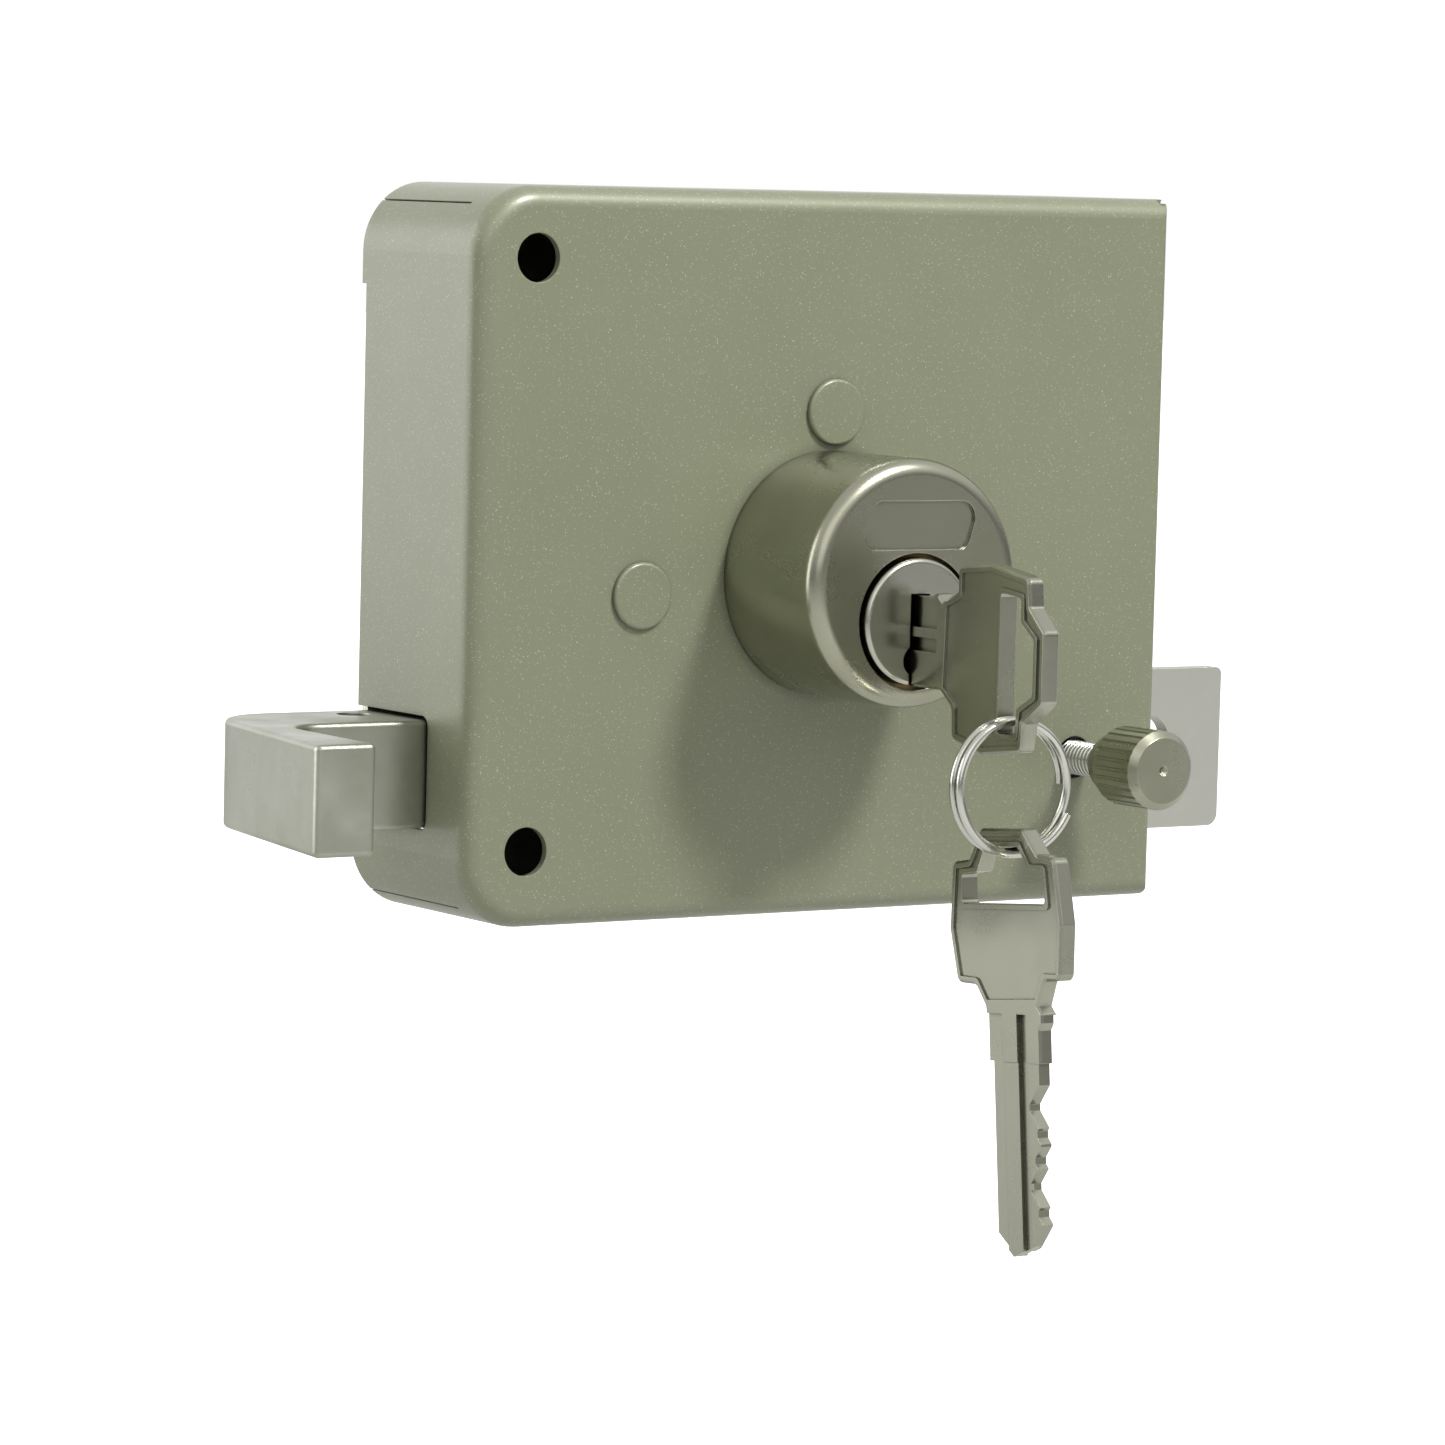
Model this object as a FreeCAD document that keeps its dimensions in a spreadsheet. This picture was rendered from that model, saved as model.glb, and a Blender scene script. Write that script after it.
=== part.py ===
import FreeCAD, Part
import math
import os

import Sketcher
from FreeCAD import Placement, Rotation, Vector

# Surface-mounted rim lock with a hook bolt, in millimetres.
# Sizes are given from the case's lower left front corner: x to the right, y to the back, z up.
# Every finished sub-part is then moved so that the origin is the centre of the rear face.

DIMENSIONS = {
    # case
    "case_width": 114.7, "case_height": 100.0, "case_depth": 30.64, "case_sheet": 1.1,
    "corner_radius": 9.5, "front_bend": 2.8, "right_bend": 1.0,
    "screw_hole_x": 9.45, "screw_hole_low": 10.5, "screw_hole_high": 90.35, "screw_hole_radius": 3.32,
    "rim_step": 1.1, "rim_step_top": 86.0, "seam_width": 0.35, "seam_front": 7.0,
    "back_sheet": 1.5, "back_gap": 0.2,
    # hook bolt
    "slot_low": 12.6, "slot_high": 28.1, "slot_front": 10.6, "slot_radius": 1.5,
    "hook_low": 12.9, "hook_high": 27.6, "shank_front": 11.0, "shank_back": 27.7,
    "claw_front": -16.0, "claw_tip_left": -32.1, "claw_tip_right": -23.1, "shank_end": 1.6,
    "tenon_length": 20.0, "tenon_back": 20.0, "tenon_low": 15.0, "tenon_high": 26.0,
    "saw_pin_x": -5.0, "saw_pin_y": 22.0, "saw_pin_hole": 2.35, "saw_pin_sunk": 0.7,
    # bolt plate
    "plate_front": 8.4, "plate_thick": 2.5, "plate_low": 8.7, "plate_high": 32.0,
    "plate_left": 4.0, "plate_right": 133.2, "plate_step_low": 14.6, "plate_step_x": 32.0,
    "tail_hole_x": 120.2, "tail_hole_z": 21.5, "tail_hole_radius": 3.65, "tail_mid": 20.4,
    "rivet_radius": 2.5, "rivet_first": 9.0, "rivet_pitch": 7.0,
    # posts
    "guide_post_x": 26.9, "guide_post_z": 44.8, "lever_post_x": 57.9, "lever_post_z": 69.73,
    "post_head_radius": 4.6, "post_head_high": 0.8, "post_bearing": 4.0, "lever_bearing": 3.5,
    "pillar_x": 95.0, "pillar_low": 44.0, "pillar_high": 86.0,
    # cylinder
    "barrel_x": 57.25, "barrel_z": 47.44, "barrel_radius": 17.0, "barrel_long": 21.86,
    "barrel_edge": 2.2, "barrel_wall": 2.0, "shell_screw_reach": 11.5, "shell_screw_z": 56.0,
    "plug_z": 42.3, "plug_radius": 8.1, "plug_bore": 8.15, "plug_head": 8.7, "plug_window": 9.35,
    "plug_out": 0.9, "plug_rim": 0.65, "groove_radius": 7.2,
    "body_radius": 9.8, "body_rear": 5.0, "tower_half": 5.5, "tower_top": 61.0,
    "pin_radius": 1.3, "pin_chamber": 1.35, "pin_first": 5.9, "pin_pitch": 3.5,
    "pin_top": 50.25, "driver_low": 50.45, "driver_high": 54.2,
    "keyway_end": 4.8, "keyway_half": 1.55, "keyway_top": 46.2, "bulge_low": 35.0, "bulge_high": 39.2, "bulge_reach": 2.55,
    # cam
    "cam_reach": 11.5, "cam_tip": 2.5, "cam_swing": 70.0, "cam_hub": 6.6, "notch_half": 3.4,
    # return lever
    "lever_front": 13.5, "lever_thick": 2.0, "lever_pin_z": 22.0, "lever_pin_radius": 2.5,
    # thumb screw
    "snib_x": 100.7, "snib_z": 20.5, "stud_radius": 2.45, "stud_tip": 7.6,
    "knob_radius": 5.6, "knob_rear": -8.3, "knob_front": -21.1, "knob_taper": 3.8, "knob_neck": 3.8,
    "knob_chamfer": 1.0, "flute_radius": 0.3, "flute_out": 0.08, "flute_count": 26,
    # keys
    "key_thick": 2.6, "key_stop": -22.15, "key_mid": 38.5, "blade_thick": 2.3,
    "blade_long": 25.9, "blade_low": -3.9, "blade_high": 6.9,
    "bow_edge": 0.35, "bow_rim": 0.95, "window_rim": 0.65, "bow_sunk": 0.28,
    # ring
    "ring_y": -45.0, "ring_radius": 8.8, "ring_wire": 0.6, "ring_top": 30.9, "ring_turn": 1.5,
    "ring_pitch": 1.55, "spare_drop": 0.9,
    "spare_lean": 5.5,
}
CUT_DEPTHS = (2.3, 0.7, 1.3, 2.5, 0.9)    # key cuts from the stop to the tip

doc = FreeCAD.newDocument("rim_lock")
sheet = doc.addObject("Spreadsheet::Sheet", "dims")
for row, (alias, number) in enumerate(DIMENSIONS.items(), start=1):
    sheet.set("A%d" % row, str(number))
    sheet.setAlias("A%d" % row, alias)
doc.recompute()

finished = []
FRONT_ROTATION = Rotation(Vector(1, 0, 0), -90)      # turns a primitive's Z axis to +Y


def size(alias):
    """A cell's number, for outlines and for places that aren't bound."""
    return float(sheet.get(alias))


def bind(item, bindings):
    """Bind properties to expressions; a bare alias is read from the sheet."""
    for name, expression in bindings.items():
        item.setExpression(name, str(expression))
    return item


def d(alias):
    return "dims." + alias


def box(name, x, y, z, long, deep, high):
    item = doc.addObject("Part::Box", name)
    return bind(item, {"Placement.Base.x": x, "Placement.Base.y": y, "Placement.Base.z": z,
                       "Length": long, "Width": deep, "Height": high})


def rod(name, x, y, z, radius, long, rotation=FRONT_ROTATION):
    """A cylinder that starts at x, y, z and runs back along +Y unless turned."""
    item = doc.addObject("Part::Cylinder", name)
    item.Placement = Placement(Vector(), rotation)
    return bind(item, {"Placement.Base.x": x, "Placement.Base.y": y, "Placement.Base.z": z,
                       "Radius": radius, "Height": long})


def cone(name, x, y, z, radius_start, radius_end, long, rotation=FRONT_ROTATION):
    item = doc.addObject("Part::Cone", name)
    item.Placement = Placement(Vector(), rotation)
    return bind(item, {"Placement.Base.x": x, "Placement.Base.y": y, "Placement.Base.z": z,
                       "Radius1": radius_start, "Radius2": radius_end, "Height": long})


def fuse(name, items):
    item = doc.addObject("Part::MultiFuse", name)
    item.Shapes = items
    item.Refine = True
    return item


def cut(name, base, tools):
    """Base less the tools, however many there are."""
    item = doc.addObject("Part::Cut", name)
    item.Base = base
    item.Tool = tools[0] if len(tools) == 1 else fuse(name + "_tools", tools)
    item.Refine = True
    return item


def group(name, items):
    """Separate identical solids in one sub-part."""
    item = doc.addObject("Part::Compound", name)
    item.Links = items
    return item


def rounded(name, base, wanted):
    """Fillet the edges for which wanted(edge) gives a radius, not None."""
    doc.recompute()
    item = doc.addObject("Part::Fillet", name)
    item.Base = base
    edges = []
    for number, edge in enumerate(base.Shape.Edges, start=1):
        radius = wanted(edge)
        if radius:
            edges.append((number, radius, radius))
    item.Edges = edges
    return item


def chamfered(name, base, wanted):
    doc.recompute()
    item = doc.addObject("Part::Chamfer", name)
    item.Base = base
    edges = []
    for number, edge in enumerate(base.Shape.Edges, start=1):
        width = wanted(edge)
        if width:
            edges.append((number, width, width))
    item.Edges = edges
    return item


def prism(name, points, start, long, plane="XZ_Plane", radii=None, holes=(), slots=()):
    """A pad of a closed outline; on the XZ plane it starts at y = start and runs back."""
    body = doc.addObject("PartDesign::Body", name)
    sketch = body.newObject("Sketcher::SketchObject", name + "_outline")
    origin_plane = [item for item in body.Origin.OriginFeatures if item.Role == plane][0]
    sketch.AttachmentSupport = [(origin_plane, "")]
    sketch.MapMode = "FlatFace"
    backwards = plane == "XZ_Plane"
    offset = "-(%s)" % start if backwards else str(start)
    sketch.setExpression("AttachmentOffset.Base.z", offset)
    for edge in outline_edges(points, radii or {}):
        sketch.addGeometry(edge, False)
    for x, z, radius in holes:
        sketch.addGeometry(Part.Circle(Vector(x, z, 0), Vector(0, 0, 1), radius), False)
        number = len(sketch.Geometry) - 1
        sketch.addConstraint(Sketcher.Constraint("Radius", number, radius))
    for x_left, x_right, z, radius in slots:
        for edge in slot_edges(x_left, x_right, z, radius):
            sketch.addGeometry(edge, False)
    pad = body.newObject("PartDesign::Pad", name + "_pad")
    pad.Profile = sketch
    pad.setExpression("Length", str(long))
    pad.Reversed = backwards
    body.Tip = pad
    return body


def outline_edges(points, radii):
    """Straight sketch edges through the points, with an arc at each point that has a radius."""
    count = len(points)
    corners = [Vector(x, y, 0) for x, y in points]
    ends = []
    for index, corner in enumerate(corners):
        before = corners[index - 1]
        after = corners[(index + 1) % count]
        radius = radii.get(index, 0.0)
        if not radius:
            ends.append((corner, corner, None))
            continue
        to_before = (before - corner).normalize()
        to_after = (after - corner).normalize()
        half = to_before.getAngle(to_after) / 2
        reach = radius / math.tan(half)
        start = corner + to_before * reach
        end = corner + to_after * reach
        middle = corner + (to_before + to_after).normalize() * (radius / math.sin(half) - radius)
        ends.append((start, end, Part.Arc(start, middle, end)))
    edges = []
    for index in range(count):
        arc = ends[index][2]
        if arc:
            edges.append(arc)
        start = ends[index][1]
        end = ends[(index + 1) % count][0]
        if start.distanceToPoint(end) > 1e-6:
            edges.append(Part.LineSegment(start, end))
    return edges


def slot_edges(x_left, x_right, z, radius):
    """A level slot with round ends, by the centres of its ends."""
    top_left = Vector(x_left, z + radius, 0)
    top_right = Vector(x_right, z + radius, 0)
    low_left = Vector(x_left, z - radius, 0)
    low_right = Vector(x_right, z - radius, 0)
    return [Part.LineSegment(top_left, top_right),
            Part.Arc(top_right, Vector(x_right + radius, z, 0), low_right),
            Part.LineSegment(low_right, low_left),
            Part.Arc(low_left, Vector(x_left - radius, z, 0), top_left)]


def finish(item, label):
    """Name a finished sub-part and move it to the row's origin."""
    item.Label = label
    bind(item, {"Placement.Base.x": "-dims.case_width / 2", "Placement.Base.y": "-dims.case_depth",
                "Placement.Base.z": "-dims.case_height / 2"})
    finished.append(item)
    return item


def finish_shape(name, shape):
    """A sub-part whose shape is made directly: helices and turned copies."""
    item = doc.addObject("Part::Feature", name + "_shape")
    item.Shape = shape
    return finish(group(name, [item]), name)


def along(edge, axis):
    """True for a straight edge along one axis (0, 1 or 2)."""
    if edge.Curve.TypeId != "Part::GeomLine":
        return False
    direction = edge.Curve.Direction
    return abs(abs((direction.x, direction.y, direction.z)[axis]) - 1) < 1e-6


def near(number, target, slack=0.02):
    return abs(number - target) < slack


# ---------------------------------------------------------------- case cover
def case_cover():
    width, height = size("case_width"), size("case_height")
    sheet_thick = size("case_sheet")

    def block(name, inset):
        inset_text = "%s * dims.case_sheet" % inset
        return box(name, inset_text, inset_text, inset_text, "dims.case_width - 2 * %s" % inset_text,
                   d("case_depth"), "dims.case_height - 2 * %s" % inset_text)

    def corners(name, base, inset):
        def radius_of(edge):
            if along(edge, 1) and near(edge.CenterOfMass.x, inset):
                return size("corner_radius") - inset
            return None
        return rounded(name, base, radius_of)

    def front(name, base, inset):
        def radius_of(edge):
            middle = edge.CenterOfMass
            if not (near(edge.BoundBox.YMin, inset) and near(edge.BoundBox.YMax, inset)):
                return None
            if near(middle.x, width - inset):
                return None if inset else size("right_bend")
            return size("front_bend") - inset
        return rounded(name, base, radius_of)

    outside = front("cover_outside", corners("cover_outside_corners", block("cover_block", 0), 0), 0)
    inside = front("cover_inside", corners("cover_inside_corners", block("cover_hollow", 1), sheet_thick),
                   sheet_thick)
    tray = cut("cover_tray", outside, [inside])
    through = "dims.case_sheet + 2"
    tools = [
        rod("screw_hole_a", d("screw_hole_x"), -1, d("screw_hole_low"), d("screw_hole_radius"), through),
        rod("screw_hole_b", d("screw_hole_x"), -1, d("screw_hole_high"), d("screw_hole_radius"), through),
        rod("guide_rivet_hole", d("guide_post_x"), -1, d("guide_post_z"), 2.5, through),
        rod("lever_rivet_hole", d("lever_post_x"), -1, d("lever_post_z"), 2.5, through),
        rod("cylinder_hole", d("barrel_x"), -1, d("plug_z"), "dims.body_radius + 0.2", through),
        rod("snib_hole", d("snib_x"), -1, d("snib_z"), 3.0, through),
        box("tail_slot", "dims.case_width - 3", "dims.plate_front - 0.5", "dims.plate_low - 0.6",
            6, "dims.plate_thick + 1", "dims.plate_high - dims.plate_low + 1.2"),
        box("rim_step_cut", -1, "dims.case_depth - dims.rim_step", "dims.corner_radius + 1", 3, 3,
            "dims.rim_step_top - dims.corner_radius - 1"),
        rod("corner_relief", "dims.case_width - 0.5", -1, "dims.case_height - 0.4", 0.55, 3.2),
    ]
    for side in (-1, 1):
        x = size("barrel_x") + side * size("shell_screw_reach")
        tools.append(rod("shell_screw_hole", x, -1, d("shell_screw_z"), 2.0, through))
        corner = size("corner_radius")
        middle_z = corner if side < 0 else height - corner
        seam = box("corner_seam", 0, 0, 0, 4, "dims.case_depth - dims.seam_front", d("seam_width"))
        seam.setExpression("Placement.Base.x", None)
        seam.setExpression("Placement.Base.y", None)
        seam.setExpression("Placement.Base.z", None)
        direction = Vector(-math.cos(math.radians(48)), 0, side * math.sin(math.radians(48)))
        start = Vector(corner, size("seam_front"), middle_z) + direction * (corner - 2.4)
        seam.Placement = Placement(start, Rotation(Vector(0, 1, 0), 180 + side * 48))
        tools.append(seam)
    slot = box("hook_slot", -1, d("slot_front"), d("slot_low"), 4, 25, "dims.slot_high - dims.slot_low")

    def slot_radius(edge):
        if along(edge, 0) and near(edge.CenterOfMass.y, size("slot_front")):
            return size("slot_radius")
        return None
    tools.append(rounded("hook_slot_round", slot, slot_radius))
    finish(cut("cover", tray, tools), "case_cover")


def back_plate():
    gap = size("case_sheet") + size("back_gap")
    right, top = size("case_width") - gap, size("case_height") - gap
    radius = size("corner_radius") - gap
    holes = [(size("screw_hole_x"), size("screw_hole_low"), size("screw_hole_radius")),
             (size("screw_hole_x"), size("screw_hole_high"), size("screw_hole_radius"))]
    plate = prism("back_plate_blank", [(gap, gap), (right, gap), (right, top), (gap, top)],
                  "dims.case_depth - dims.back_sheet", d("back_sheet"), radii={0: radius, 3: radius},
                  holes=holes)
    sinks = [cone("back_plate_sink", x, "dims.case_depth - dims.back_sheet - 0.1", z, 1.75, 3.35, 1.7)
             for x, z in back_screw_places()]
    finish(cut("back_plate_sunk", plate, sinks), "back_plate")


def back_screw_places():
    return [(size("guide_post_x"), size("guide_post_z")), (size("lever_post_x"), size("lever_post_z")),
            (size("pillar_x"), size("pillar_low")), (size("pillar_x"), size("pillar_high"))]


# ---------------------------------------------------------------- posts and screws
def turned(name, x, z, steps):
    """Rods end to end: steps are (y start, y end, radius)."""
    items = []
    for index, (start, end, radius) in enumerate(steps):
        items.append(rod("%s_%d" % (name, index), x, start, z, radius, end - start))
    return fuse(name, items)


def posts():
    rear = size("case_depth") - size("back_sheet")
    head, rise = size("post_head_radius"), size("post_head_high")
    plate_back = size("plate_front") + size("plate_thick")
    for label, x, z, bearing, shoulder_end, bearing_end, neck in (
            ("guide_post", "guide_post_x", "guide_post_z", size("post_bearing"),
             size("plate_front") - 0.1, plate_back + 0.2, 3.5),
            ("lever_post", "lever_post_x", "lever_post_z", size("lever_bearing"),
             size("lever_front") - 0.1, size("lever_front") + size("lever_thick") + 0.2, 3.0)):
        steps = [(-rise, 0, head), (0, size("case_sheet"), 2.5), (size("case_sheet"), shoulder_end, 5.5),
                 (shoulder_end, bearing_end, bearing), (bearing_end, rear, neck)]
        blank = turned(label + "_blank", d(x), d(z), steps)

        def dome(edge):
            is_rim = edge.Curve.TypeId == "Part::GeomCircle" and near(edge.CenterOfMass.y, -rise)
            return 0.5 if is_rim and near(edge.Curve.Radius, head) else None
        domed = rounded(label + "_domed", blank, dome)
        tapped = rod(label + "_tapped", d(x), rear - 9, d(z), 1.6, 12)
        finish(cut(label, domed, [tapped]), label)

    washers = []
    for x, z, y, inner in (("guide_post_x", "guide_post_z", plate_back + 0.25, 3.5),
                           ("lever_post_x", "lever_post_z", size("lever_front") + size("lever_thick") + 0.25,
                            3.0)):
        disc = rod("washer_disc", d(x), y, d(z), 6.5, 0.8)
        washers.append(cut("washer", disc, [rod("washer_hole", d(x), y - 1, d(z), inner, 3)]))
    finish(group("washers", washers), "post_washers")

    pillars = []
    for z in (d("pillar_low"), d("pillar_high")):
        pillar = rod("pillar_rod", d("pillar_x"), d("case_sheet"), z, 4.0, rear - size("case_sheet"))
        pillars.append(cut("pillar", pillar, [rod("pillar_tapped", d("pillar_x"), rear - 9, z, 1.6, 12)]))
    finish(group("pillars", pillars), "case_pillars")

    screws = []
    for x, z in back_screw_places():
        shank = rod("back_screw_shank", x, rear - 7, z, 1.6, 7.5)
        head_top = cone("back_screw_head", x, rear, z, 1.65, 3.1, "dims.back_sheet - 0.05")
        recess = box("back_screw_recess", x - 0.4, rear + 0.75, z - 4, 0.8, 2, 8)
        screws.append(cut("back_screw", fuse("back_screw_blank", [shank, head_top]), [recess]))
    finish(group("back_screws", screws), "back_plate_screws")


# ---------------------------------------------------------------- hook bolt and bolt plate
def hook_bolt():
    low, high = d("hook_low"), "dims.hook_high - dims.hook_low"
    front, back = size("shank_front"), size("shank_back")
    end, claw = size("shank_end"), size("claw_front")
    left, right = size("claw_tip_left"), size("claw_tip_right")
    outline = [(end, front), (end, back), (left + 7.8, back), (left, claw), (right, claw), (right + 0.8, front)]
    head = prism("hook_blank", outline, low, high, plane="XY_Plane", radii={2: 10.5, 5: 6.0})

    def edge_radius(edge):
        box_of = edge.BoundBox
        flat = near(box_of.ZMin, box_of.ZMax)
        if near(edge.CenterOfMass.x, end):
            return None
        if flat:
            return 0.7
        upright = along(edge, 2) and near(edge.CenterOfMass.y, claw)
        return 0.9 if upright else None
    soft = rounded("hook_soft", head, edge_radius)
    tenon = box("hook_tenon", 1.5, d("shank_front"), d("tenon_low"), d("tenon_length"),
                "dims.tenon_back - dims.shank_front", "dims.tenon_high - dims.tenon_low")
    solid = fuse("hook_solid", [soft, tenon])
    tools = [rod("saw_pin_hole", d("saw_pin_x"), d("saw_pin_y"), "dims.hook_low - 1", d("saw_pin_hole"), 20,
                 rotation=Rotation())]
    for index in range(2):
        tools.append(rod("hook_rivet_hole", "dims.rivet_first + %d * dims.rivet_pitch" % index, 9,
                         d("tail_mid"), d("rivet_radius"), 14))
    finish(cut("hook", solid, tools), "hook_bolt")

    pin = rod("saw_pin_rod", d("saw_pin_x"), d("saw_pin_y"), "dims.hook_low + dims.saw_pin_sunk",
              "dims.saw_pin_hole - 0.02", "dims.hook_high - dims.hook_low - 2 * dims.saw_pin_sunk",
              rotation=Rotation())

    def pin_edge(edge):
        return 0.4 if edge.Curve.TypeId == "Part::GeomCircle" else None
    finish(chamfered("saw_pin", pin, pin_edge), "anti_saw_pin")

    rivets = []
    for index in range(2):
        x = size("rivet_first") + index * size("rivet_pitch")
        start = size("plate_front")
        rivets.append(turned("bolt_rivet", x, d("tail_mid"),
                             [(start - 1.0, start, 3.8), (start, 20.0, 2.48), (20.0, 21.0, 3.8)]))
    finish(group("rivets", rivets), "bolt_rivets")


def bolt_plate():
    low, high = size("plate_low"), size("plate_high")
    left, right = size("plate_left"), size("plate_right")
    step_low, step_x = size("plate_step_low"), size("plate_step_x")
    travel = bolt_travel()
    notch_x = size("barrel_x") - travel / 2
    notch_half = size("notch_half")
    notch_low = size("plug_z") - size("cam_reach") - size("cam_tip") - 0.7
    lobe_top, lobe_right = size("guide_post_z") + 8.5, 34.5
    outline = [(left, step_low), (step_x - 6, step_low), (step_x, low), (right, low), (right, high),
               (notch_x + notch_half, high), (notch_x + notch_half, notch_low),
               (notch_x - notch_half, notch_low), (notch_x - notch_half, high),
               (lobe_right + 2, high), (lobe_right, high + 3), (lobe_right, lobe_top), (left, lobe_top)]
    radii = {3: 1.8, 4: 1.0, 5: 0.8, 6: 2.0, 7: 2.0, 8: 0.8, 11: 3.0, 12: 3.0, 0: 1.0}
    bearing = size("post_bearing")
    post_x = size("guide_post_x")
    holes = [(size("tail_hole_x"), size("tail_hole_z"), size("tail_hole_radius")),
             (size("snib_x"), size("snib_z"), 3.0), (size("snib_x") - travel, size("snib_z"), 3.0),
             (notch_x + 0.65, size("lever_pin_z"), 1.8)]
    for index in range(2):
        holes.append((size("rivet_first") + index * size("rivet_pitch"), size("tail_mid"),
                      size("rivet_radius")))
    slots = [(post_x - travel - 0.1, post_x + 0.1, size("guide_post_z"), bearing + 0.3)]
    plate = prism("bolt_plate_blank", outline, d("plate_front"), d("plate_thick"), radii=radii,
                  holes=holes, slots=slots)
    finish(plate, "bolt_plate")

    plate_back = size("plate_front") + size("plate_thick")
    pin = turned("lever_pin_turned", notch_x + 0.65, d("lever_pin_z"),
                 [(size("plate_front"), plate_back, 1.8),
                  (plate_back, size("lever_front") + size("lever_thick") + 0.6, size("lever_pin_radius"))])
    finish(pin, "lever_pin")


def bolt_travel():
    return 2 * size("cam_reach") * math.sin(math.radians(size("cam_swing") / 2))


def lever_start_angle():
    """How far the lever leans from upright at rest, in degrees."""
    drop = size("lever_post_z") - size("lever_pin_z")
    return math.degrees(math.atan(bolt_travel() / 2 / drop))


def return_lever():
    drop = size("lever_post_z") - size("lever_pin_z")
    fork = size("lever_pin_radius") + 0.25
    arm, foot = 5.0, 6.0
    outline = [(-arm, 2), (-foot, -drop + 4), (-foot, -drop - 4), (-fork, -drop - 4), (-fork, -drop + 3.4),
               (fork, -drop + 3.4), (fork, -drop - 4), (foot, -drop - 4), (foot, -drop + 4), (arm, 2),
               (arm, 7), (-arm, 7)]
    radii = {2: 1.4, 3: 0.6, 4: 2.4, 5: 2.4, 6: 0.6, 7: 1.4, 10: 4.8, 11: 4.8}
    blank = prism("lever_blank", outline, d("lever_front"), d("lever_thick"), radii=radii,
                  holes=[(0, 0, size("lever_bearing") + 0.05)])
    doc.recompute()
    shape = blank.Shape.copy()
    shape.rotate(Vector(), Vector(0, 1, 0), lever_start_angle())
    shape.translate(Vector(size("lever_post_x"), 0, size("lever_post_z")))
    finish_shape("return_lever", shape)


def coil(radius, wire, pitch, turns, centre, rotation=None, make_helix=Part.makeHelix):
    """A round-wire helix spring standing along Z from its centre point."""
    helix = make_helix(pitch, pitch * turns, radius)
    start = Vector(radius, 0, 0)
    section = Part.Wire([Part.makeCircle(wire, start, Vector(0, 1, pitch / (2 * math.pi * radius)))])
    spring = Part.Wire(helix.Edges).makePipeShell([section], True, True)
    if rotation:
        spring.rotate(Vector(), rotation[0], rotation[1])
    spring.translate(centre)
    return spring


def return_spring():
    x, z = size("lever_post_x"), size("lever_post_z")
    y = size("lever_front") + size("lever_thick") + 2.2
    spring = coil(4.4, 0.55, 1.5, 5, Vector(x, y, z), (Vector(1, 0, 0), -90))
    finish_shape("return_spring", spring)


# ---------------------------------------------------------------- cylinder
def cylinder_shell():
    long = size("barrel_long")
    barrel = rod("barrel_rod", d("barrel_x"), -long, d("barrel_z"), d("barrel_radius"), d("barrel_long"))

    def front_edge(edge):
        is_rim = edge.Curve.TypeId == "Part::GeomCircle" and near(edge.CenterOfMass.y, -long)
        return size("barrel_edge") if is_rim else None
    soft = rounded("barrel_soft", barrel, front_edge)
    hollow_start = -long + size("barrel_wall")
    panel_points = [(47.9, 52.1), (65.5, 52.1), (67.4, 58.7), (50.4, 58.7)]
    panel = prism("panel", panel_points, -long - 1, 1.45, radii={0: 1.6, 1: 1.8, 2: 2.4, 3: 1.2})
    tools = [
        rod("plug_window", d("barrel_x"), -long - 1, d("plug_z"), d("plug_window"), 5),
        rod("body_hollow", d("barrel_x"), hollow_start, d("plug_z"), "dims.body_radius + 0.15", 25),
        box("tower_hollow", "dims.barrel_x - dims.tower_half - 0.2", hollow_start, d("plug_z"),
            "2 * dims.tower_half + 0.4", 25, "dims.tower_top - dims.plug_z + 1.3"),
        panel,
    ]
    for side in (-1, 1):
        x = size("barrel_x") + side * size("shell_screw_reach")
        tools.append(rod("shell_tapped", x, -9, d("shell_screw_z"), 1.7, 12))
    finish(cut("shell", soft, tools), "cylinder_shell")

    screws = []
    for side in (-1, 1):
        x = size("barrel_x") + side * size("shell_screw_reach")
        shank = rod("shell_screw_shank", x, -7, d("shell_screw_z"), 1.7, "7 + dims.case_sheet")
        head = rod("shell_screw_head", x, d("case_sheet"), d("shell_screw_z"), 3.2, 2.2)
        slot = box("shell_screw_slot", x - 0.4, "dims.case_sheet + 1.3", 50, 0.8, 4, 12)
        screws.append(cut("shell_screw", fuse("shell_screw_blank", [shank, head]), [slot]))
    finish(group("shell_screws_all", screws), "shell_screws")


def pin_places():
    return [size("key_stop") + size("pin_first") + index * size("pin_pitch") for index in range(5)]


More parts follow.
